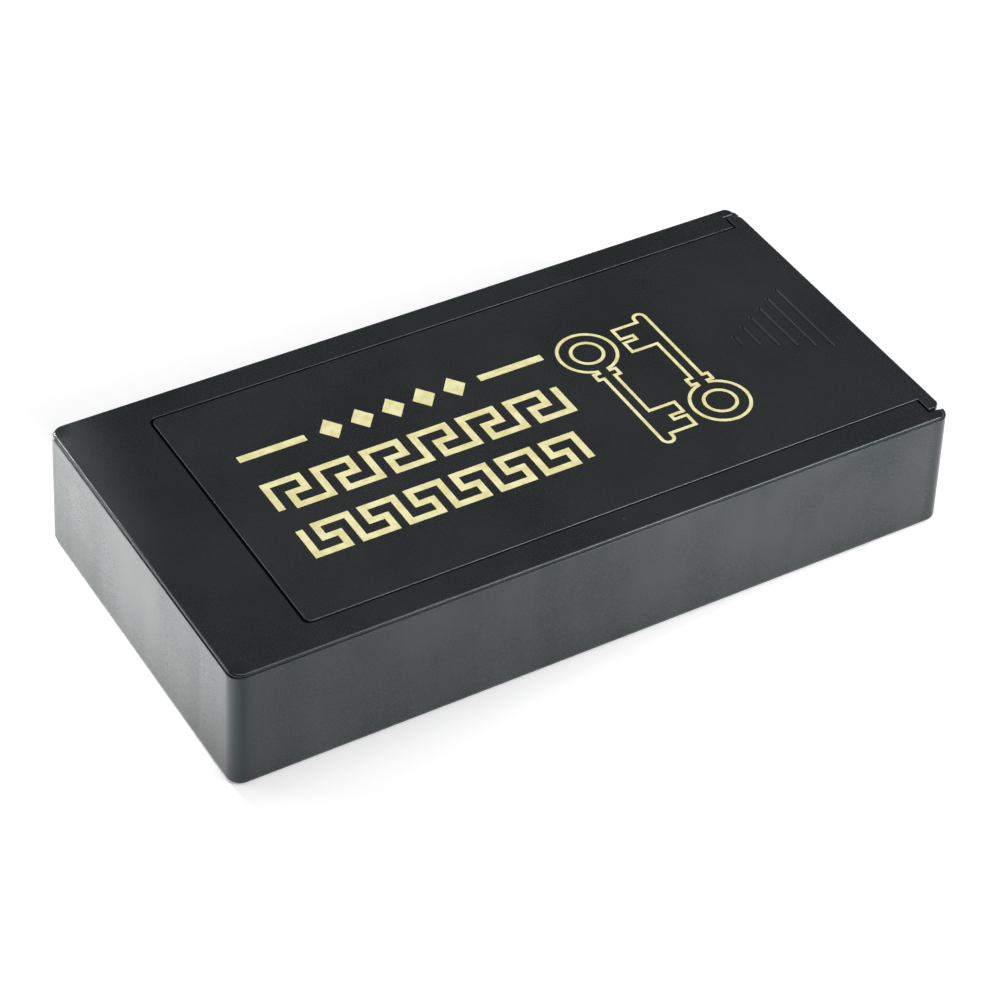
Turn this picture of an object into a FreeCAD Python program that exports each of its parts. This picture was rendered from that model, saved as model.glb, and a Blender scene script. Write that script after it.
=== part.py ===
import FreeCAD, Part
import os
import Sketcher
from math import pi

# Magnetic key holder box, in millimetres. The origin is the middle of the underside, +X runs
# along the box towards the end where the lid comes out, and +Z is up. A deep moulded tray
# carries a thin U-shaped top frame: a deck over the magnet chamber at the closed end, and two
# lips that hold the flanges of the sliding lid.

doc = FreeCAD.newDocument("KeyHolderBox")
sheet = doc.addObject("Spreadsheet::Sheet", "Sizes")

SIZES = (
    ("case_length", 120.6, "tray length at its underside"),
    ("case_width", 60.3, "tray width at its underside"),
    ("case_height", 20.2, "underside to the flat top"),
    ("side_lean", 0.5, "each outer side leans in by this much over the full height"),
    ("corner_radius", 2.2, "outer vertical corners of the tray"),
    ("foot_round", 0.6, "rounded edge round the underside"),
    ("seam_round", 0.1, "outer edge of the tray's rim, beside the frame"),
    ("wall", 2.2, "tray wall at its top"),
    ("floor_thickness", 2.0, "tray floor"),
    ("cavity_radius", 0.8, "vertical corners inside the tray"),
    ("floor_round", 0.7, "where the tray's inner walls meet its floor"),
    ("partition", 1.5, "wall between the magnets and the keys"),
    ("rib_thickness", 1.2, "each rib that carries a lid flange"),
    ("rib_depth", 2.2, "how far a rib stands out from the side wall"),
    ("rib_count", 7, "ribs on each side"),
    ("rim_height", 0.5, "edge of the top frame that shows above the tray"),
    ("frame_inset", 0.2, "ledge of the tray's rim that shows beside the frame"),
    ("lip_width", 4.8, "frame's side to the opening"),
    ("lip_thickness", 1.5, "lips and deck"),
    ("frame_round", 0.3, "outer top edge of the frame"),
    ("opening_round", 0.1, "top edge of the deck and of the lips beside the lid"),
    ("tab_setback", 0.75, "frame's end tabs back from the tray's end"),
    ("tab_radius", 1.2, "outer corner of each end tab"),
    ("tab_inner_radius", 0.4, "corner of each end tab beside the lid's head"),
    ("locating_gap", 0.15, "frame's locating step to the tray wall"),
    ("lid_gap", 0.3, "lid panel to each lip"),
    ("lid_end_gap", 0.45, "lid panel to the deck, and head to the lips"),
    ("head_side_gap", 0.5, "lid's head to each end tab of the frame"),
    ("slide_gap", 0.15, "flange to the lip above and to the ribs below"),
    ("flange_side_gap", 0.35, "flange to the tray's side wall"),
    ("flange_thickness", 1.3, "lid flange"),
    ("panel_thickness", 1.6, "lid panel over the cored-out cells"),
    ("tongue_length", 2.1, "end of the lid under the deck"),
    ("tongue_gap", 0.3, "tongue to the partition"),
    ("lid_setback", 0.2, "lid's end back from the tray's end"),
    ("head_length", 2.2, "wide end of the lid"),
    ("head_radius", 1.25, "corners of the lid's wide end"),
    ("lid_round", 0.18, "top edge of the lid"),
    ("lid_corner_radius", 0.9, "corners of the lid panel beside the deck"),
    ("lead_in", 0.4, "bevel on the tongue's end"),
    ("cell_margin", 3.0, "solid border round the cored-out cells"),
    ("cell_rib", 1.2, "ribs between the cells"),
    ("cell_columns", 5, "cells along the lid, in two rows"),
    ("groove_count", 6, "grip grooves"),
    ("groove_pitch", 2.47, "groove to groove"),
    ("groove_step", 2.76, "length that each groove adds to the one before"),
    ("groove_width", 0.75, "each groove at its top"),
    ("groove_bottom", 0.35, "flat at the bottom of each groove"),
    ("groove_depth", 0.32, "each groove"),
    ("grip_margin", 6.1, "longest groove to the lid's end"),
    ("magnet_thickness", 5.4, "ferrite block, along the box"),
    ("magnet_bevel", 0.4, "edges of the ferrite block"),
    ("plate_thickness", 1.2, "steel pole plates"),
    ("plate_shoulder", 2.0, "plate rests on the floor beside its slot"),
    ("slot_gap", 0.1, "plate foot to the sides of its slot"),
    ("pack_gap", 0.1, "magnet pack to what is round it"),
    ("hold_down", 1.6, "ribs under the deck that keep the pack down"),
    ("boss_diameter", 4.2, "tray bosses that take the frame's pins"),
    ("boss_margin", 0.65, "boss to the side wall"),
    ("pin_diameter", 1.9, "locating pins under the deck"),
    ("pin_gap", 0.05, "pin to the wall of its hole"),
    ("pin_length", 5.0, "locating pins under the deck"),
    ("hole_spare", 0.5, "hole deeper than its pin"),
)

# What follows from the sizes above, from the closed end towards the open one and from the
# top down. A root is how far what stands on a wall, the floor or the deck starts inside it.
DERIVED = (
    ("tray_height", "case_height - rim_height"),
    ("top_length", "case_length - 2 * side_lean"),
    ("top_width", "case_width - 2 * side_lean"),
    ("cavity_length", "top_length - 2 * wall"),
    ("cavity_width", "top_width - 2 * wall"),
    ("frame_start", "frame_inset - top_length / 2"),
    ("frame_end", "top_length / 2 - tab_setback"),
    ("frame_width", "top_width - 2 * frame_inset"),
    ("lip_underside", "case_height - lip_thickness"),
    ("flange_top", "lip_underside - slide_gap"),
    ("flange_underside", "flange_top - flange_thickness"),
    ("rib_top", "flange_underside - slide_gap"),
    ("pack_thickness", "magnet_thickness + 2 * plate_thickness"),
    ("chamber_x", "pack_gap + pack_thickness / 2 - cavity_length / 2"),
    ("chamber_length", "pack_thickness + 2 * pack_gap"),
    ("keys_start", "chamber_x + chamber_length / 2 + partition"),
    ("keys_end", "cavity_length / 2"),
    ("lid_start", "keys_start + tongue_gap"),
    ("panel_start", "lid_start + tongue_length"),
    ("deck_end", "panel_start - lid_end_gap"),
    ("lid_end", "top_length / 2 - lid_setback"),
    ("head_start", "lid_end - head_length"),
    ("lip_end", "head_start - lid_end_gap"),
    ("opening_width", "frame_width - 2 * lip_width"),
    ("panel_width", "opening_width - 2 * lid_gap"),
    ("flange_width", "cavity_width - 2 * flange_side_gap"),
    ("notch_width", "flange_width + 2 * head_side_gap"),
    ("magnet_length", "cavity_width - 2 * (boss_margin + boss_diameter + pack_gap)"),
    ("magnet_height", "lip_underside - hold_down - pack_gap - floor_thickness"),
    ("boss_y", "magnet_length / 2 + pack_gap + boss_diameter / 2"),
    ("foot_length", "magnet_length - 2 * plate_shoulder"),
    ("plate_x", "magnet_thickness / 2 + plate_thickness / 2"),
    ("rib_pitch", "(keys_end - keys_start) / (rib_count + 1)"),
    ("rib_root", "wall / 2"),
    ("floor_root", "floor_thickness / 2"),
    ("deck_root", "lip_thickness / 2"),
    ("keeper_y", "magnet_length / 4"),
    ("cell_start", "panel_start + cell_margin"),
    ("cell_pitch", "(head_start - cell_margin + cell_rib - cell_start) / cell_columns"),
    ("cell_length", "cell_pitch - cell_rib"),
    ("cell_width", "(panel_width - 2 * cell_margin - cell_rib) / 2"),
)

rows = [(alias, str(number), note) for alias, number, note in SIZES]
rows += [(alias, "=" + formula, "") for alias, formula in DERIVED]
for row, (alias, content, note) in enumerate(rows, 1):
    sheet.set(f"A{row}", note)
    sheet.set(f"B{row}", content)
    sheet.setAlias(f"B{row}", alias)
doc.recompute()


def size(alias):
    """A value of the sheet, for what is found by its place, such as an edge."""
    return float(sheet.get(alias))


def new_body(label):
    body = doc.addObject("PartDesign::Body", label)
    body.Label = label
    return body


def origin_part(body, role):
    return next(part for part in body.Origin.OriginFeatures if part.Role == role)


def new_sketch(body, name, plane, place):
    """An empty sketch on a plane of the body's origin, moved by the three expressions."""
    sketch = body.newObject("Sketcher::SketchObject", name)
    sketch.AttachmentSupport = [(origin_part(body, plane), "")]
    sketch.MapMode = "FlatFace"
    for axis, expression in zip("xyz", place):
        sketch.setExpression(f".AttachmentOffset.Base.{axis}", expression)
    return sketch


def add_polygon(sketch, points):
    """Closed outline of straight lines in an empty sketch."""
    corners = [FreeCAD.Vector(x, y, 0) for x, y in points]
    for start, end in zip(corners, corners[1:] + corners[:1]):
        sketch.addGeometry(Part.LineSegment(start, end), False)
    for index in range(len(corners)):
        following = (index + 1) % len(corners)
        sketch.addConstraint(Sketcher.Constraint("Coincident", index, 2, following, 1))


def name_constraint(sketch, name, expression, *constraint):
    index = sketch.addConstraint(Sketcher.Constraint(*constraint))
    sketch.renameConstraint(index, name)
    sketch.setExpression(f"Constraints.{name}", expression)


def rectangle(body, name, x_size, y_size, place):
    """Sketch of a rectangle parallel to the underside, centred on its place."""
    sketch = new_sketch(body, name, "XY_Plane", place)
    half_x, half_y = 5, 3
    add_polygon(sketch, [(-half_x, -half_y), (half_x, -half_y), (half_x, half_y), (-half_x, half_y)])
    for line, direction in enumerate(("Horizontal", "Vertical") * 2):
        sketch.addConstraint(Sketcher.Constraint(direction, line))
    sketch.addConstraint(Sketcher.Constraint("Symmetric", 0, 1, 2, 1, -1, 1))
    name_constraint(sketch, "x_size", x_size, "DistanceX", 0, 1, 0, 2, 2 * half_x)
    name_constraint(sketch, "y_size", y_size, "DistanceY", 1, 1, 1, 2, 2 * half_y)
    return sketch


def circle(body, name, diameter, place):
    """Sketch of a circle parallel to the underside."""
    sketch = new_sketch(body, name, "XY_Plane", place)
    sketch.addGeometry(Part.Circle(FreeCAD.Vector(0, 0, 0), FreeCAD.Vector(0, 0, 1), 1), False)
    sketch.addConstraint(Sketcher.Constraint("Coincident", 0, 3, -1, 1))
    name_constraint(sketch, "diameter", diameter, "Diameter", 0, 2)
    return sketch


def long_slot(body, name, width, length, place):
    """Sketch of a slot with round ends, parallel to the underside, that runs across the box. It
    is drawn at its size, because round ends can turn over on the way to another size."""
    sketch = new_sketch(body, name, "XY_Plane", place)
    radius = sketch.evalExpression(width) / 2
    reach = sketch.evalExpression(length) / 2 - radius
    up = FreeCAD.Vector(0, 0, 1)
    far_end = Part.Circle(FreeCAD.Vector(0, reach, 0), up, radius)
    near_end = Part.Circle(FreeCAD.Vector(0, -reach, 0), up, radius)
    corners = [FreeCAD.Vector(x, y, 0) for x in (-radius, radius) for y in (-reach, reach)]
    sketch.addGeometry(Part.ArcOfCircle(far_end, 0, pi), False)
    sketch.addGeometry(Part.LineSegment(corners[1], corners[0]), False)
    sketch.addGeometry(Part.ArcOfCircle(near_end, pi, 2 * pi), False)
    sketch.addGeometry(Part.LineSegment(corners[2], corners[3]), False)
    for index in range(4):
        sketch.addConstraint(Sketcher.Constraint("Tangent", index, 2, (index + 1) % 4, 1))
    sketch.addConstraint(Sketcher.Constraint("Vertical", 1))
    sketch.addConstraint(Sketcher.Constraint("Symmetric", 0, 3, 2, 3, -1, 1))
    name_constraint(sketch, "across", width, "Diameter", 0, 2 * radius)
    name_constraint(sketch, "centres", f"{length} - {width}", "DistanceY", 2, 3, 0, 3, 2 * reach)
    return sketch


def volume(body):
    doc.recompute()
    return body.Shape.Volume


def pad(body, sketch, height, lean=None):
    """Adds material upwards from the sketch, with sides that lean in by an angle if given."""
    before = volume(body) if body.Tip else 0
    feature = body.newObject("PartDesign::Pad", sketch.Name + "_pad")
    feature.Profile = sketch
    feature.setExpression("Length", height)
    if lean:
        feature.setExpression("TaperAngle", lean)
    if volume(body) <= before:
        raise RuntimeError(f"{feature.Name} adds nothing")
    return feature


def pocket(body, sketch, depth, upwards=False, lean=None):
    """Cuts material downwards from the sketch, or upwards, with sides that lean if given."""
    before = volume(body)
    feature = body.newObject("PartDesign::Pocket", sketch.Name + "_pocket")
    feature.Profile = sketch
    feature.setExpression("Length", depth)
    feature.Reversed = upwards
    if lean:
        feature.setExpression("TaperAngle", lean)
    if volume(body) >= before:
        raise RuntimeError(f"{feature.Name} cuts nothing")
    return feature


def row_along_x(body, name, feature, spacing, count):
    """Repeats a feature towards the open end."""
    before = volume(body)
    pattern = body.newObject("PartDesign::LinearPattern", name)
    pattern.Originals = [feature]
    pattern.Direction = (origin_part(body, "X_Axis"), [""])
    pattern.Mode = "Spacing"
    pattern.setExpression("Offset", spacing)
    pattern.setExpression("Occurrences", count)
    body.Tip = pattern
    if volume(body) == before:
        raise RuntimeError(f"{name} repeats nothing")


def mirror_across_width(body, name, features):
    """Repeats features on the other side of the box."""
    before = volume(body)
    mirrored = body.newObject("PartDesign::Mirrored", name)
    mirrored.Originals = features
    mirrored.MirrorPlane = (origin_part(body, "XZ_Plane"), [""])
    body.Tip = mirrored
    if volume(body) == before:
        raise RuntimeError(f"{name} repeats nothing")


def dress_edges(body, name, kind, amount, wanted):
    """Fillets or chamfers the edges of the body so far whose two end points pass the test."""
    doc.recompute()
    base = body.Tip
    chosen = []
    for index, edge in enumerate(base.Shape.Edges, 1):
        ends = [vertex.Point for vertex in edge.Vertexes]
        if len(ends) == 2 and wanted(*ends):
            chosen.append(f"Edge{index}")
    if not chosen:
        raise RuntimeError(f"{name} finds no edge")
    feature = body.newObject(f"PartDesign::{kind}", name)
    feature.Base = (base, chosen)
    feature.setExpression("Radius" if kind == "Fillet" else "Size", amount)
    doc.recompute()
    if body.Shape.isNull() or not body.Shape.isValid():
        raise RuntimeError(f"{name} doesn't give a valid shape")


def round_edges(body, name, radius, wanted):
    dress_edges(body, name, "Fillet", radius, wanted)


def bevel_edges(body, name, width, wanted):
    dress_edges(body, name, "Chamfer", width, wanted)


# Points closer than this are one point, and an edge this many times taller than it is wide is
# upright although the walls lean.
TOUCH = 0.01
STEEP = 4


def near(first, second):
    return abs(first - second) < TOUCH


def upright(start, end):
    """True for an edge that climbs, such as a box's vertical corner."""
    climb = abs(start.z - end.z)
    return climb > TOUCH and climb > STEEP * max(abs(start.x - end.x), abs(start.y - end.y))


# ---- tray: deep box with its floor, walls, partition and flange ribs in one moulding ----------
tray = new_body("tray")
outline = rectangle(tray, "tray_outline", "Sizes.case_length", "Sizes.case_width", ("0", "0", "0"))
pad(tray, outline, "Sizes.tray_height", "-atan(Sizes.side_lean / Sizes.case_height)")
round_edges(tray, "tray_corners", "Sizes.corner_radius", upright)
round_edges(tray, "tray_foot", "Sizes.foot_round", lambda a, b: near(a.z, 0) and near(b.z, 0))
round_edges(tray, "tray_rim", "Sizes.seam_round",
            lambda a, b: near(a.z, size("tray_height")) and near(b.z, size("tray_height")))

# A shallow step for the frame, then the magnet chamber and the key compartment below it, with
# the partition left standing between them.
rebate = rectangle(tray, "tray_rebate", "Sizes.cavity_length", "Sizes.cavity_width",
                   ("0", "0", "Sizes.tray_height"))
pocket(tray, rebate, "Sizes.tray_height - Sizes.lip_underside")
chamber = rectangle(tray, "tray_chamber", "Sizes.chamber_length", "Sizes.cavity_width",
                    ("Sizes.chamber_x", "0", "Sizes.lip_underside"))
pocket(tray, chamber, "Sizes.lip_underside - Sizes.floor_thickness")
keys_place = ("(Sizes.keys_end + Sizes.keys_start) / 2", "0", "Sizes.lip_underside")
keys = rectangle(tray, "tray_keys", "Sizes.keys_end - Sizes.keys_start", "Sizes.cavity_width",
                 keys_place)
pocket(tray, keys, "Sizes.lip_underside - Sizes.floor_thickness")


def in_cavity(point):
    along = abs(point.x) < size("cavity_length") / 2 + TOUCH
    across = abs(point.y) < size("cavity_width") / 2 + TOUCH
    return along and across


def on_keys_floor(point):
    return near(point.z, size("floor_thickness")) and point.x > size("keys_start") - TOUCH


round_edges(tray, "cavity_corners", "Sizes.cavity_radius",
            lambda a, b: upright(a, b) and in_cavity(a) and in_cavity(b))
round_edges(tray, "cavity_floor", "Sizes.floor_round",
            lambda a, b: on_keys_floor(a) and on_keys_floor(b))

# The lid's head passes over the end wall, so that wall stops at the height of the ribs and
# leaves the side walls standing to the corner.
mouth_place = ("Sizes.keys_end", "0", "Sizes.tray_height")
mouth = rectangle(tray, "tray_mouth", "2 * (Sizes.wall + Sizes.side_lean)", "Sizes.cavity_width",
                  mouth_place)
pocket(tray, mouth, "Sizes.tray_height - Sizes.rib_top")

# Ribs against both side walls, whose tops carry the lid's flanges.
for side, sign in (("near", "-"), ("far", "")):
    rib_place = ("Sizes.keys_start + Sizes.rib_pitch",
                 f"{sign}(Sizes.cavity_width - Sizes.rib_depth + Sizes.rib_root) / 2",
                 "Sizes.floor_root")
    rib = rectangle(tray, f"tray_{side}_rib", "Sizes.rib_thickness",
                    "Sizes.rib_depth + Sizes.rib_root", rib_place)
    rib_pad = pad(tray, rib, "Sizes.rib_top - Sizes.floor_root")
    row_along_x(tray, f"tray_{side}_ribs", rib_pad, "Sizes.rib_pitch", "Sizes.rib_count")

# Magnet chamber: two bosses for the frame's pins, and a slot in the floor for each pole plate.
boss_place = ("Sizes.chamber_x", "Sizes.boss_y", "Sizes.floor_root")
boss = circle(tray, "tray_boss", "Sizes.boss_diameter", boss_place)
boss_pad = pad(tray, boss, "Sizes.lip_underside - Sizes.floor_root")
mirror_across_width(tray, "tray_bosses", [boss_pad])
hole_place = ("Sizes.chamber_x", "Sizes.boss_y", "Sizes.lip_underside")
hole = circle(tray, "tray_boss_hole", "Sizes.pin_diameter + 2 * Sizes.pin_gap", hole_place)
hole_pocket = pocket(tray, hole, "Sizes.pin_length + Sizes.hole_spare")
mirror_across_width(tray, "tray_boss_holes", [hole_pocket])
for side, sign in (("outer", "-"), ("inner", "+")):
    slot_place = (f"Sizes.chamber_x {sign} Sizes.plate_x", "0", "0")
    slot = rectangle(tray, f"tray_{side}_slot", "Sizes.plate_thickness + 2 * Sizes.slot_gap",
                     "Sizes.foot_length + 2 * Sizes.slot_gap", slot_place)
    pocket(tray, slot, "Sizes.floor_thickness", upwards=True)

# ---- top_frame: deck and two lips in one thin moulding, bonded to the tray's rim --------------
frame = new_body("top_frame")
rim_place = ("(Sizes.frame_end + Sizes.frame_start) / 2", "0", "Sizes.tray_height")
rim = rectangle(frame, "frame_rim", "Sizes.frame_end - Sizes.frame_start", "Sizes.frame_width",
                rim_place)
pad(frame, rim, "Sizes.rim_height")
round_edges(frame, "deck_corners", "Sizes.corner_radius - Sizes.frame_inset",
            lambda a, b: upright(a, b) and near(a.x, size("frame_start")))
round_edges(frame, "tab_corners", "Sizes.tab_radius",
            lambda a, b: upright(a, b) and near(a.x, size("frame_end")))

# The step under the lips and the deck drops inside the tray's walls.
step_start = "(Sizes.locating_gap - Sizes.cavity_length / 2)"
step = rectangle(frame, "frame_step", f"Sizes.lip_end - {step_start}",
                 "Sizes.cavity_width - 2 * Sizes.locating_gap",
                 (f"(Sizes.lip_end + {step_start}) / 2", "0", "Sizes.lip_underside"))
pad(frame, step, "Sizes.lip_thickness - Sizes.rim_height / 2")


def step_corner(start, end):
    low = min(start.z, end.z) < size("tray_height") - TOUCH
    return upright(start, end) and low and start.x < 0


round_edges(frame, "step_corners", "Sizes.cavity_radius", step_corner)

opening_place = ("(Sizes.deck_end + Sizes.case_length) / 2", "0", "Sizes.lip_underside")
opening = rectangle(frame, "frame_opening", "Sizes.case_length - Sizes.deck_end",
                    "Sizes.opening_width", opening_place)
pocket(frame, opening, "Sizes.lip_thickness", upwards=True)


def opening_corner(start, end):
    beside_deck = near(start.x, size("deck_end")) and near(end.x, size("deck_end"))
    return upright(start, end) and beside_deck


round_edges(frame, "opening_corners", "Sizes.lid_corner_radius + Sizes.lid_gap", opening_corner)

# Notches that let the lid's head reach past the lips and leave a tab at each corner.
notch_place = ("(Sizes.lip_end + Sizes.case_length) / 2", "0", "Sizes.lip_underside")
notch = rectangle(frame, "frame_notch", "Sizes.case_length - Sizes.lip_end",
                  "Sizes.notch_width", notch_place)
pocket(frame, notch, "Sizes.lip_thickness", upwards=True)


def tab_inner_corner(start, end):
    beside_head = near(abs(start.y), size("notch_width") / 2)
    return upright(start, end) and near(start.x, size("frame_end")) and beside_head


round_edges(frame, "tab_inner_corners", "Sizes.tab_inner_radius", tab_inner_corner)


def top_edge(start, end):
    return near(start.z, size("case_height")) and near(end.z, size("case_height"))


def on_opening(point):
    """True beside the deck and the lips, and not in the notches for the lid's head."""
    across = abs(point.y) < size("notch_width") / 2 + TOUCH
    return across and size("deck_end") - TOUCH < point.x < size("lip_end") + TOUCH


def on_frame_side(point):
    across = near(abs(point.y), size("frame_width") / 2)
    along = near(point.x, size("frame_start")) or near(point.x, size("frame_end"))
    return across or along


round_edges(frame, "opening_edge", "Sizes.opening_round",
            lambda a, b: top_edge(a, b) and on_opening(a) and on_opening(b))
round_edges(frame, "frame_top_edge", "Sizes.frame_round",
            lambda a, b: top_edge(a, b) and on_frame_side(a) and on_frame_side(b))

# Under the deck: two pins that drop into the tray's bosses, and two ribs over the magnet pack.
pin_place = ("Sizes.chamber_x", "Sizes.boss_y", "Sizes.lip_underside - Sizes.pin_length")
pin = circle(frame, "frame_pin", "Sizes.pin_diameter", pin_place)
pin_pad = pad(frame, pin, "Sizes.pin_length + Sizes.deck_root")
mirror_across_width(frame, "frame_pins", [pin_pad])
keeper_place = ("Sizes.chamber_x", "Sizes.keeper_y", "Sizes.lip_underside - Sizes.hold_down")
keeper = rectangle(frame, "frame_keeper", "Sizes.pack_thickness", "Sizes.rib_thickness",
                   keeper_place)
keeper_pad = pad(frame, keeper, "Sizes.hold_down + Sizes.deck_root")
mirror_across_width(frame, "frame_keepers", [keeper_pad])

# ---- sliding_lid: panel between the lips, flanges under them, and a wide head at the end ------
lid = new_body("sliding_lid")
flange = rectangle(lid, "lid_flange", "Sizes.lid_end - Sizes.lid_start", "Sizes.flange_width",
                   ("(Sizes.lid_end + Sizes.lid_start) / 2", "0", "Sizes.flange_underside"))
pad(lid, flange, "Sizes.flange_thickness")
panel = rectangle(lid, "lid_panel", "Sizes.lid_end - Sizes.panel_start", "Sizes.panel_width",
                  ("(Sizes.lid_end + Sizes.panel_start) / 2", "0", "Sizes.flange_underside"))
pad(lid, panel, "Sizes.case_height - Sizes.flange_underside")


def panel_corner(start, end):
    beside_deck = near(start.x, size("panel_start")) and near(end.x, size("panel_start"))
    return upright(start, end) and beside_deck


round_edges(lid, "lid_panel_corners", "Sizes.lid_corner_radius", panel_corner)
head = rectangle(lid, "lid_head", "Sizes.head_length", "Sizes.flange_width",
                 ("Sizes.lid_end - Sizes.head_length / 2", "0", "Sizes.flange_underside"))
pad(lid, head, "Sizes.case_height - Sizes.flange_underside")
round_edges(lid, "head_corners", "Sizes.head_radius",
            lambda a, b: upright(a, b) and near(a.x, size("lid_end")))
round_edges(lid, "lid_top_edge", "Sizes.lid_round", top_edge)
bevel_edges(lid, "lid_lead_in", "Sizes.lead_in",
            lambda a, b: near(a.x, size("lid_start")) and near(b.x, size("lid_start"))
            and near(a.z, b.z))

# The thick middle is cored out from below, in two rows of cells with ribs between them.
for side, sign in (("near", "-"), ("far", "")):
    cell_place = ("Sizes.cell_start + Sizes.cell_length / 2",
                  f"{sign}(Sizes.cell_width + Sizes.cell_rib) / 2", "Sizes.flange_underside")
    cell = rectangle(lid, f"lid_{side}_cell", "Sizes.cell_length", "Sizes.cell_width", cell_place)
    cell_depth = "Sizes.case_height - Sizes.flange_underside - Sizes.panel_thickness"
    cell_pocket = pocket(lid, cell, cell_depth, upwards=True)
    row_along_x(lid, f"lid_{side}_cells", cell_pocket, "Sizes.cell_pitch", "Sizes.cell_columns")

# Grip: grooves across the lid with leaning sides and round ends, each longer than the last,
# which together make a triangle that points away from the end.
groove_lean = "-atan((Sizes.groove_width - Sizes.groove_bottom) / 2 / Sizes.groove_depth)"
for index in range(int(size("groove_count"))):
    back = f"(Sizes.groove_count - {index + 1}) * Sizes.groove_pitch"
    groove_place = (f"Sizes.lid_end - Sizes.grip_margin - {back}", "0", "Sizes.case_height")
    groove = long_slot(lid, f"lid_groove_{index + 1}", "Sizes.groove_width",
                       f"{index + 1} * Sizes.groove_step", groove_place)
    pocket(lid, groove, "Sizes.groove_depth", lean=groove_lean)

# ---- magnet pack: a ferrite block between two steel plates whose feet reach the underside -----
magnet = new_body("magnet_block")
block = rectangle(magnet, "block_outline", "Sizes.magnet_thickness", "Sizes.magnet_length",
                  ("Sizes.chamber_x", "0", "Sizes.floor_thickness"))
pad(magnet, block, "Sizes.magnet_height")
bevel_edges(magnet, "block_bevel", "Sizes.magnet_bevel", lambda a, b: True)
plates = []
for side, sign in (("outer", "-"), ("inner", "+")):
    plate = new_body(f"{side}_pole_plate")
    plate_x = f"Sizes.chamber_x {sign} Sizes.plate_x"
    face = rectangle(plate, f"{side}_plate_face", "Sizes.plate_thickness", "Sizes.magnet_length",
                     (plate_x, "0", "Sizes.floor_thickness"))
    pad(plate, face, "Sizes.magnet_height")
    foot = rectangle(plate, f"{side}_plate_foot", "Sizes.plate_thickness", "Sizes.foot_length",
                     (plate_x, "0", "0"))
    pad(plate, foot, "2 * Sizes.floor_thickness")
    plates.append(plate)

# ---- checks and files -------------------------------------------------------------------------
doc.recompute()
for item in doc.Objects:
    if "Invalid" in item.State or "Error" in item.State:
        raise RuntimeError(f"{item.Name} failed: {item.State}")
os.makedirs("parts", exist_ok=True)
for piece in (tray, frame, lid, magnet, *plates):
    shape = piece.Shape
    if shape.isNull() or not shape.isValid() or len(shape.Solids) != 1:
        raise RuntimeError(f"{piece.Label} isn't one valid solid")
    shape.exportStep(f"parts/{piece.Label}.step")
    box = shape.BoundBox
    low = (round(box.XMin, 2), round(box.YMin, 2), round(box.ZMin, 2))
    high = (round(box.XMax, 2), round(box.YMax, 2), round(box.ZMax, 2))
    print(piece.Label, low, high, "volume", round(shape.Volume, 1))
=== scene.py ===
from math import asin, cos, degrees, radians, sin

import bmesh
import bpy
from mathutils import Matrix, Vector


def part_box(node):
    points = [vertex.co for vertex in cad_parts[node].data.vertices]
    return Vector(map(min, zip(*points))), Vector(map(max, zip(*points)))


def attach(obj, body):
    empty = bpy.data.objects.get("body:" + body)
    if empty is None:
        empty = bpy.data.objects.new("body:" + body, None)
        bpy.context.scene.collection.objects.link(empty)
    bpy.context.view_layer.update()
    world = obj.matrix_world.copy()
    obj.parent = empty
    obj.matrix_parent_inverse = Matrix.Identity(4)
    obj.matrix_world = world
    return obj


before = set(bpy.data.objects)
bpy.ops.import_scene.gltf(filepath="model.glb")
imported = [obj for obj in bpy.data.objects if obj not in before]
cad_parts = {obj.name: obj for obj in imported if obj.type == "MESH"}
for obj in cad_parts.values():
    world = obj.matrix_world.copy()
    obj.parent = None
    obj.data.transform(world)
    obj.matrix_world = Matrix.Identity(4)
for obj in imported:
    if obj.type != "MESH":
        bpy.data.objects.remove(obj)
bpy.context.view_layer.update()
MM = 0.001

# ---- Tray ---------------------------------------------------------------------------------------
# Deep box with walls that lean in, injection-moulded in black ABS. The tool is spark-eroded, which
# leaves a fine satin grain. Handling has rubbed the four upright corners clean and a bit smoother.


class Socket:
    """A node's output, so that sums on it are written as Python expressions."""

    def __init__(self, owner, output):
        self.owner = owner
        self.output = output

    def math(self, operation, *terms):
        values = dict(enumerate(terms))
        return self.owner.node("ShaderNodeMath", {"operation": operation}, values)

    def __add__(self, other):
        return self.math("ADD", self, other)

    def __radd__(self, other):
        return self.math("ADD", other, self)

    def __sub__(self, other):
        return self.math("SUBTRACT", self, other)

    def __rsub__(self, other):
        return self.math("SUBTRACT", other, self)

    def __mul__(self, other):
        return self.math("MULTIPLY", self, other)

    def __rmul__(self, other):
        return self.math("MULTIPLY", other, self)

    def __abs__(self):
        return self.math("ABSOLUTE", self)

    def over(self, low, high):
        """0 below low, 1 above high, and smooth between them."""
        settings = {"interpolation_type": "SMOOTHSTEP", "clamp": True}
        values = {"Value": self, "From Min": low, "From Max": high}
        return self.owner.node("ShaderNodeMapRange", settings, values)


class Nodes:
    """The nodes of one material, or of the room around the box."""

    def __init__(self, tree):
        self.tree = tree

    def node(self, kind, settings=None, values=None, output=0):
        """A node of any kind: its settings first, then the values or links of its sockets."""
        made = self.tree.nodes.new(kind)
        for name, value in (settings or {}).items():
            setattr(made, name, value)
        for name, value in (values or {}).items():
            if isinstance(value, Socket):
                self.tree.links.new(value.output, made.inputs[name])
            else:
                made.inputs[name].default_value = value
        return Socket(self, made.outputs[output])

    def show(self, surface, end):
        """Links the last shader to the output node of that name."""
        self.tree.links.new(surface.output, self.tree.nodes[end].inputs["Surface"])


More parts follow.
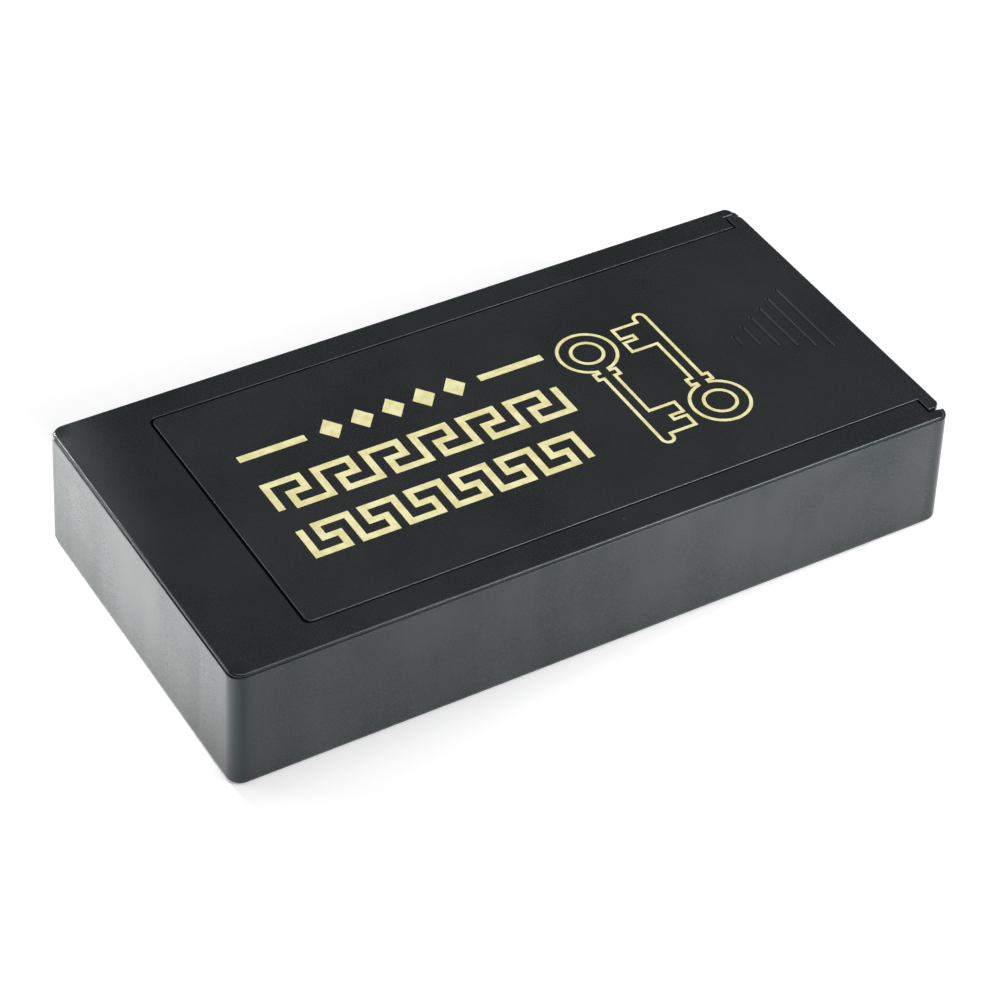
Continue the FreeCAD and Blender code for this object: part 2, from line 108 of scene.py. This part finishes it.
class Finish(Nodes):
    """One procedural material with a principled shader at its end."""

    def __init__(self, name, **constants):
        self.material = bpy.data.materials.new(name)
        self.material.use_nodes = True
        super().__init__(self.material.node_tree)
        self.shader = self.tree.nodes["Principled BSDF"]
        for socket, value in constants.items():
            self.shader.inputs[socket.replace("_", " ")].default_value = value
        self.place = self.node("ShaderNodeTexCoord", output="Object")

    def drive(self, **links):
        """Links what changes over the surface to the principled shader."""
        for socket, value in links.items():
            self.tree.links.new(value.output, self.shader.inputs[socket.replace("_", " ")])

    def stretched(self, x, y, z):
        """Places for a pattern that is drawn out along an axis where its factor is small."""
        settings = {"operation": "MULTIPLY"}
        values = {0: self.place, 1: (x, y, z)}
        return self.node("ShaderNodeVectorMath", settings, values)

    def noise(self, size, detail=2.0, rough=0.5, place=None):
        """Cloudy noise from 0 to 1, whose clouds are about size across."""
        values = {"Vector": place or self.place, "Scale": 1 / size, "Detail": detail,
                  "Roughness": rough}
        return self.node("ShaderNodeTexNoise", values=values)

    def specks(self, spacing, low, high):
        """1 in scattered dots and 0 between them. The dots' radii are shares of the spacing."""
        values = {"Vector": self.place, "Scale": 1 / spacing}
        return 1 - self.node("ShaderNodeTexVoronoi", values=values).over(low, high)

    def colours(self, mask, low, high):
        """The colour low where the mask is 0, and high where it is 1."""
        settings = {"data_type": "RGBA"}
        values = {0: mask, 6: low, 7: high}
        return self.node("ShaderNodeMix", settings, values, output=2)

    def bump(self, height, depth, strength=1.0, under=None):
        """Relief of the given depth where height goes from 0 to 1."""
        values = {"Height": height, "Distance": depth, "Strength": strength}
        if under:
            values["Normal"] = under
        return self.node("ShaderNodeBump", values=values)

    def wear(self, *names):
        """Puts this finish on CAD nodes."""
        for name in names:
            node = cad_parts[name]
            node.data.materials.clear()
            node.data.materials.append(self.material)


SATIN = 0.28
GRAIN = 0.22 * MM
GRAIN_DEPTH = 0.004 * MM
FLOW = 22 * MM
SINK_DEPTH = 0.02 * MM
FILM = 0.5
SCRATCH_SPACING = 9 * MM
SCRATCH_EDGE = (0.0004, 0.0012)
DUST_SPACING = 7 * MM
DUST_RADII = (0.012, 0.022)
DUST_COLOUR = (0.11, 0.11, 0.105, 1)
# Where a rubbed corner begins and where it is rubbed clean, from the middle of the box.
CORNER_X = (56.0 * MM, 58.5 * MM)
CORNER_Y = (26.0 * MM, 28.5 * MM)


def moulded_plastic(name, dark, light):
    """Black ABS with spark-eroded grain, faint flow marks, a film from handling and dust."""
    plastic = Finish(name, IOR=1.5, Specular_Tint=(0.82, 1, 1, 1), Coat_Roughness=0.3,
                     Coat_IOR=1.5)
    along, across = [plastic.node("ShaderNodeSeparateXYZ", values={"Vector": plastic.place},
                                  output=axis) for axis in "XY"]
    corners = abs(along).over(*CORNER_X) * abs(across).over(*CORNER_Y)
    flow = plastic.noise(FLOW, detail=3.0)
    streaks = plastic.noise(FLOW / 4, place=plastic.stretched(1.0, 1.0, 0.12))
    grain = plastic.noise(GRAIN, detail=1.0, rough=0.6)
    mottle = plastic.noise(3 * GRAIN)
    dust = plastic.specks(DUST_SPACING, *DUST_RADII)
    hairs = plastic.noise(SCRATCH_SPACING, detail=0.0, place=plastic.stretched(1.0, 0.07, 1.0))
    scratches = 1 - abs(hairs - 0.5).over(*SCRATCH_EDGE)
    tone = plastic.colours(0.3 * flow + 0.4 * mottle + 0.3 * grain, dark, light)
    cloud = 0.65 * flow + 0.35 * streaks
    film = FILM * cloud.over(0.25, 0.75) * (1 - corners)
    gloss = SATIN + 0.12 * (flow - 0.5) + 0.12 * (grain - 0.5) - 0.05 * scratches - 0.09 * corners
    relief = plastic.bump(grain, GRAIN_DEPTH)
    plastic.drive(Base_Color=plastic.colours(dust, tone, DUST_COLOUR), Roughness=gloss,
                  Coat_Weight=film,
                  Normal=plastic.bump(streaks, SINK_DEPTH, strength=0.5, under=relief))
    return plastic


case_plastic = moulded_plastic("black_case_plastic", (0.005, 0.0063, 0.0063, 1),
                               (0.019, 0.022, 0.0216, 1))
case_plastic.wear("tray")

# ---- Top frame ----------------------------------------------------------------------------------
# Thin U-shaped moulding of the same plastic, bonded to the tray's rim. It shows as the deck over
# the closed end, the two lips beside the lid, and the narrow edge above the seam.
case_plastic.wear("top_frame")

# ---- Sliding lid --------------------------------------------------------------------------------
# Panel of the same plastic from another tool, a little bluer, with six grip grooves at the end
# where a thumb pushes it open.
lid_plastic = moulded_plastic("black_lid_plastic", (0.0075, 0.0082, 0.0096, 1),
                              (0.024, 0.0252, 0.0288, 1))
lid_plastic.wear("sliding_lid")

# ---- Gold print on the lid ----------------------------------------------------------------------
# Hot-stamped foil: two bars with a row of lozenges between them, two bands of meander that mirror
# each other, and two old bit keys in outline. The foil lies on the lid and goes with it.
FOIL_THICKNESS = 0.02 * MM
FOIL_MOTTLE = 1.6 * MM
FOIL_GRAIN = 0.15 * MM
FOIL_GRAIN_DEPTH = 0.003 * MM
FOIL_DARK = (0.86, 0.79, 0.37, 1)
FOIL_LIGHT = (1.0, 0.95, 0.54, 1)
foil = Finish("gold_foil", Metallic=0.06)
foil_mottle = foil.noise(FOIL_MOTTLE, detail=4.0)
foil_grain = foil.noise(FOIL_GRAIN)
foil.drive(Base_Color=foil.colours(foil_mottle.over(0.35, 0.65), FOIL_DARK, FOIL_LIGHT),
           Roughness=0.36 + 0.2 * foil_grain, Normal=foil.bump(foil_grain, FOIL_GRAIN_DEPTH))
lid_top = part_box("sliding_lid")[1].z


# All places on the lid are in millimetres, from the middle of the box.
def patch(shape, outline):
    """Flat foil inside a closed outline."""
    shape.faces.new([shape.verts.new((x * MM, y * MM, lid_top)) for x, y in outline])


def line(shape, points, width, closed=False):
    """Flat foil of an even width along a line of points, mitred at its turns."""
    stops = [Vector(point) for point in points]
    count = len(stops)
    pairs = []
    for index, stop in enumerate(stops):
        ways = []
        if closed or index > 0:
            ways.append((stop - stops[index - 1]).normalized())
        if closed or index < count - 1:
            ways.append((stops[(index + 1) % count] - stop).normalized())
        sides = [Vector((-way.y, way.x)) for way in ways]
        mitre = (sides[0] + sides[-1]).normalized()
        reach = mitre * width / 2 / mitre.dot(sides[0])
        edges = (stop + reach, stop - reach)
        pairs.append([shape.verts.new((edge.x * MM, edge.y * MM, lid_top)) for edge in edges])
    following = pairs[1:] + pairs[:1] if closed else pairs[1:]
    for (left, right), (next_left, next_right) in zip(pairs, following):
        shape.faces.new([left, right, next_right, next_left])


def foil_piece(name, shape):
    """Gives flat foil its thickness and lays it on the lid."""
    bmesh.ops.recalc_face_normals(shape, faces=shape.faces)
    raised = bmesh.ops.extrude_face_region(shape, geom=list(shape.faces))
    tops = [part for part in raised["geom"] if isinstance(part, bmesh.types.BMVert)]
    bmesh.ops.translate(shape, verts=tops, vec=(0, 0, FOIL_THICKNESS))
    bmesh.ops.recalc_face_normals(shape, faces=shape.faces)
    mesh = bpy.data.meshes.new(name)
    shape.to_mesh(mesh)
    shape.free()
    piece = bpy.data.objects.new(name, mesh)
    bpy.context.scene.collection.objects.link(piece)
    mesh.materials.append(foil.material)
    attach(piece, "lid")


BAR_STARTS = (-38.6, 1.6)
BAR_LENGTH = 11.0
BAR_HEIGHT = 1.35
BAR_Y = 9.7
bars = bmesh.new()
for start in BAR_STARTS:
    end, top = start + BAR_LENGTH, BAR_Y + BAR_HEIGHT
    patch(bars, [(start, BAR_Y), (end, BAR_Y), (end, top), (start, top)])
foil_piece("print_bars", bars)

LOZENGES = 5
LOZENGE_PITCH = 5.2
LOZENGE_WIDTH = 3.8
LOZENGE_HEIGHT = 4.8
LOZENGE_ROW_X = -13.0
lozenges = bmesh.new()
for index in range(LOZENGES):
    x = LOZENGE_ROW_X + (index - (LOZENGES - 1) / 2) * LOZENGE_PITCH
    y = BAR_Y + BAR_HEIGHT / 2
    across, along = LOZENGE_WIDTH / 2, LOZENGE_HEIGHT / 2
    patch(lozenges, [(x - across, y), (x, y - along), (x + across, y), (x, y + along)])
foil_piece("print_lozenges", lozenges)

# One unit of the meander on a grid of six by four: up, over, halfway down, back and down.
MEANDER_UNIT = ((0, 0), (0, 4), (4, 4), (4, 2), (2, 2), (2, 0))
MEANDER_GRID = (6, 4)
MEANDER_UNITS = 6
MEANDER_STROKE = 1.15


def meander(name, start_x, end_x, foot, crown):
    """Running key border between two heights, which ends in an upright."""
    unit_width, unit_height = MEANDER_GRID
    grid_x = (end_x - start_x) / MEANDER_UNITS / unit_width
    grid_y = (crown - foot) / unit_height
    steps = [(x + unit_width * index, y) for index in range(MEANDER_UNITS)
             for x, y in MEANDER_UNIT]
    steps += [(unit_width * MEANDER_UNITS, 0), (unit_width * MEANDER_UNITS, unit_height)]
    band = bmesh.new()
    line(band, [(start_x + x * grid_x, foot + y * grid_y) for x, y in steps], MEANDER_STROKE)
    foil_piece(name, band)


meander("print_upper_meander", start_x=-38.0, end_x=10.3, foot=-2.3, crown=3.4)
meander("print_lower_meander", start_x=-38.0, end_x=7.1, foot=-7.2, crown=-12.9)

KEY_STROKE = 0.55
KEY_LENGTH = 28.0
BOW_RADIUS = 4.6
BOW_STEPS = 40
BOW_HOLE = 2.5
BOW_HOLE_SIDES = 36
SHANK_RADIUS = 0.95
TIP_STEPS = 10
# How far each reaches from the key's middle line, and its two heights above the tip.
COLLAR = (1.9, 17.0, 18.4)
BIT = (5.4, 1.7, 7.5)
WARD = (3.2, 4.1, 5.1)


def arc(x, y, radius, start, end, steps):
    """Points on an arc from one angle to another, in degrees."""
    turns = [radians(start + (end - start) * index / steps) for index in range(steps + 1)]
    return [(x + radius * cos(turn), y + radius * sin(turn)) for turn in turns]


def bit_key(shape, middle_x, middle_y, way):
    """Outline of an upright key with its bow at the top, or upside down where the way is -1."""
    bow_y = KEY_LENGTH - BOW_RADIUS
    half_neck = degrees(asin(SHANK_RADIUS / BOW_RADIUS))
    collar_x, collar_low, collar_high = COLLAR
    bit_x, bit_low, bit_high = BIT
    ward_x, ward_low, ward_high = WARD
    outline = arc(0, bow_y, BOW_RADIUS, half_neck - 90, 270 - half_neck, BOW_STEPS)
    outline += [(-SHANK_RADIUS, collar_high), (-collar_x, collar_high), (-collar_x, collar_low),
                (-SHANK_RADIUS, collar_low)]
    outline += arc(0, SHANK_RADIUS, SHANK_RADIUS, 180, 360, TIP_STEPS)
    outline += [(SHANK_RADIUS, bit_low), (bit_x, bit_low), (bit_x, ward_low),
                (ward_x, ward_low), (ward_x, ward_high), (bit_x, ward_high), (bit_x, bit_high),
                (SHANK_RADIUS, bit_high), (SHANK_RADIUS, collar_low), (collar_x, collar_low),
                (collar_x, collar_high), (SHANK_RADIUS, collar_high)]
    hole = arc(0, bow_y, BOW_HOLE, 0, 360, BOW_HOLE_SIDES)[:-1]
    for points in (outline, hole):
        placed = [(middle_x + way * x, middle_y + way * (y - KEY_LENGTH / 2)) for x, y in points]
        line(shape, placed, KEY_STROKE, closed=True)


keys = bmesh.new()
bit_key(keys, middle_x=19.2, middle_y=-1.4, way=1)
bit_key(keys, middle_x=30.9, middle_y=-1.4, way=-1)
foil_piece("print_keys", keys)

# ---- Magnet pack --------------------------------------------------------------------------------
# Sintered ferrite block, ground on its faces, between two zinc-plated steel plates. Only the feet
# of the plates show, flush with the underside.
FERRITE_GRAIN = 0.3 * MM
FERRITE_DEPTH = 0.01 * MM
FERRITE_DARK = (0.035, 0.034, 0.034, 1)
FERRITE_LIGHT = (0.075, 0.073, 0.072, 1)
ferrite = Finish("ferrite", Metallic=0.1)
ferrite_grain = ferrite.noise(FERRITE_GRAIN, detail=3.0)
ferrite.drive(Base_Color=ferrite.colours(ferrite_grain, FERRITE_DARK, FERRITE_LIGHT),
              Roughness=0.5 + 0.2 * ferrite_grain,
              Normal=ferrite.bump(ferrite_grain, FERRITE_DEPTH))
ferrite.wear("magnet_block")

ZINC_GRAIN = 0.25 * MM
ZINC_LINES = 0.6 * MM
ZINC_DEPTH = 0.004 * MM
ZINC_DARK = (0.45, 0.46, 0.47, 1)
ZINC_LIGHT = (0.66, 0.67, 0.68, 1)
zinc = Finish("zinc_plated_steel", Metallic=1.0)
zinc_grain = zinc.noise(ZINC_GRAIN, detail=3.0)
zinc_lines = zinc.noise(ZINC_LINES, place=zinc.stretched(1.0, 0.05, 1.0))
zinc.drive(Base_Color=zinc.colours(zinc_grain, ZINC_DARK, ZINC_LIGHT),
           Roughness=0.28 + 0.25 * zinc_lines, Normal=zinc.bump(zinc_lines, ZINC_DEPTH))
zinc.wear("outer_pole_plate", "inner_pole_plate")

# ---- Studio -------------------------------------------------------------------------------------
# Pale table under soft lamps, in a room that is evenly light all round and white to the camera.
# The table glows a little to the camera and in reflections, and two spots brighten it beside the
# box. From below the table is clear, so that the underside can be seen.
TABLE_GLOW = 0.32
ROOM_LIGHT = 0.15
WHITE = (1, 1, 1, 1)
FLOOR_SIZE = 6.0
FLOOR_DROP = 0.02 * MM
floor_mesh = bpy.data.meshes.new("floor")
half = FLOOR_SIZE / 2
floor_corners = [(-half, -half, 0), (half, -half, 0), (half, half, 0), (-half, half, 0)]
floor_mesh.from_pydata(floor_corners, [], [(0, 1, 2, 3)])
floor = bpy.data.objects.new("floor", floor_mesh)
floor.location.z = -FLOOR_DROP
bpy.context.scene.collection.objects.link(floor)

table = Finish("white_table", Base_Color=(0.8, 0.8, 0.8, 1), Roughness=0.9,
               Specular_IOR_Level=0.2)
camera_path = table.node("ShaderNodeLightPath", output="Is Camera Ray")
glossy_path = table.node("ShaderNodeLightPath", output="Is Glossy Ray")
through_path = table.node("ShaderNodeLightPath", output="Is Transmission Ray")
seen = camera_path + glossy_path + through_path
glow = table.node("ShaderNodeEmission", values={"Strength": TABLE_GLOW})
glow_seen = table.node("ShaderNodeMixShader", values={0: seen, 2: glow})
lit = Socket(table, table.shader.outputs["BSDF"])
both = table.node("ShaderNodeAddShader", values={0: lit, 1: glow_seen})
below = table.node("ShaderNodeNewGeometry", output="Backfacing")
clear = table.node("ShaderNodeBsdfTransparent")
table.show(table.node("ShaderNodeMixShader", values={0: below, 1: both, 2: clear}),
           "Material Output")
floor_mesh.materials.append(table.material)

world = bpy.data.worlds.new("studio")
world.use_nodes = True
bpy.context.scene.world = world
room = Nodes(world.node_tree)
room_background = room.tree.nodes["Background"]
room_background.inputs["Color"].default_value = WHITE
room_background.inputs["Strength"].default_value = ROOM_LIGHT
room_light = Socket(room, room_background.outputs["Background"])
backdrop = room.node("ShaderNodeBackground", values={"Color": WHITE})
to_camera = room.node("ShaderNodeLightPath", output="Is Camera Ray")
room.show(room.node("ShaderNodeMixShader", values={0: to_camera, 1: room_light, 2: backdrop}),
          "World Output")


def lamp(kind, name, place, aim, power, **settings):
    """Lamp at a place in metres, turned towards another, with its power in watts."""
    light = bpy.data.lights.new(name, kind)
    light.energy = power
    for setting, value in settings.items():
        setattr(light, setting, value)
    holder = bpy.data.objects.new(name, light)
    holder.location = place
    holder.rotation_euler = (Vector(aim) - Vector(place)).to_track_quat("-Z", "Y").to_euler()
    bpy.context.scene.collection.objects.link(holder)


lamp("AREA", "right_softbox", place=(0.453, -0.570, 0.596), aim=(0, 0, 0), power=5.3,
     shape="RECTANGLE", size=0.15, size_y=0.5)
lamp("AREA", "top_softbox", place=(0.1, 0.1, 1.0), aim=(0, 0, 0), power=3.9, size=0.6)
lamp("AREA", "back_left_softbox", place=(-0.60, 0.58, 0.40), aim=(0, 0, 0), power=1.5, size=0.3)
lamp("SPOT", "left_table_spot", place=(-0.125, 0.95, 0.66), aim=(-0.101, 0.024, 0), power=152.0,
     spot_size=radians(4.6), spot_blend=0.1, shadow_soft_size=0.01)
lamp("SPOT", "front_table_spot", place=(0.58, -0.075, 0.30), aim=(0.080, -0.066, 0), power=19.0,
     spot_size=radians(10), spot_blend=1.0, shadow_soft_size=0.02)

# ---- Camera -------------------------------------------------------------------------------------
# Looks down on the near long side and the closed end, turned a little so that the box leans.
AIM = Vector((-3.28, -4.95, 10.0)) * MM
DISTANCE = 469.1 * MM
AZIMUTH = radians(-32.62)
ELEVATION = radians(41.08)
ROLL = radians(3.075)
LENS = 114.37
NEAREST = 0.01
FARTHEST = 20.0

back = Vector((sin(AZIMUTH) * cos(ELEVATION), -cos(AZIMUTH) * cos(ELEVATION), sin(ELEVATION)))
camera_data = bpy.data.cameras.new("camera")
camera_data.lens = LENS
camera_data.clip_start = NEAREST
camera_data.clip_end = FARTHEST
camera = bpy.data.objects.new("camera", camera_data)
camera.location = AIM + back * DISTANCE
level = (-back).to_track_quat("-Z", "Y").to_matrix()
camera.rotation_euler = (level @ Matrix.Rotation(ROLL, 3, "Z")).to_euler()
bpy.context.scene.collection.objects.link(camera)
bpy.context.scene.camera = camera

bpy.context.scene.view_settings.view_transform = "Standard"
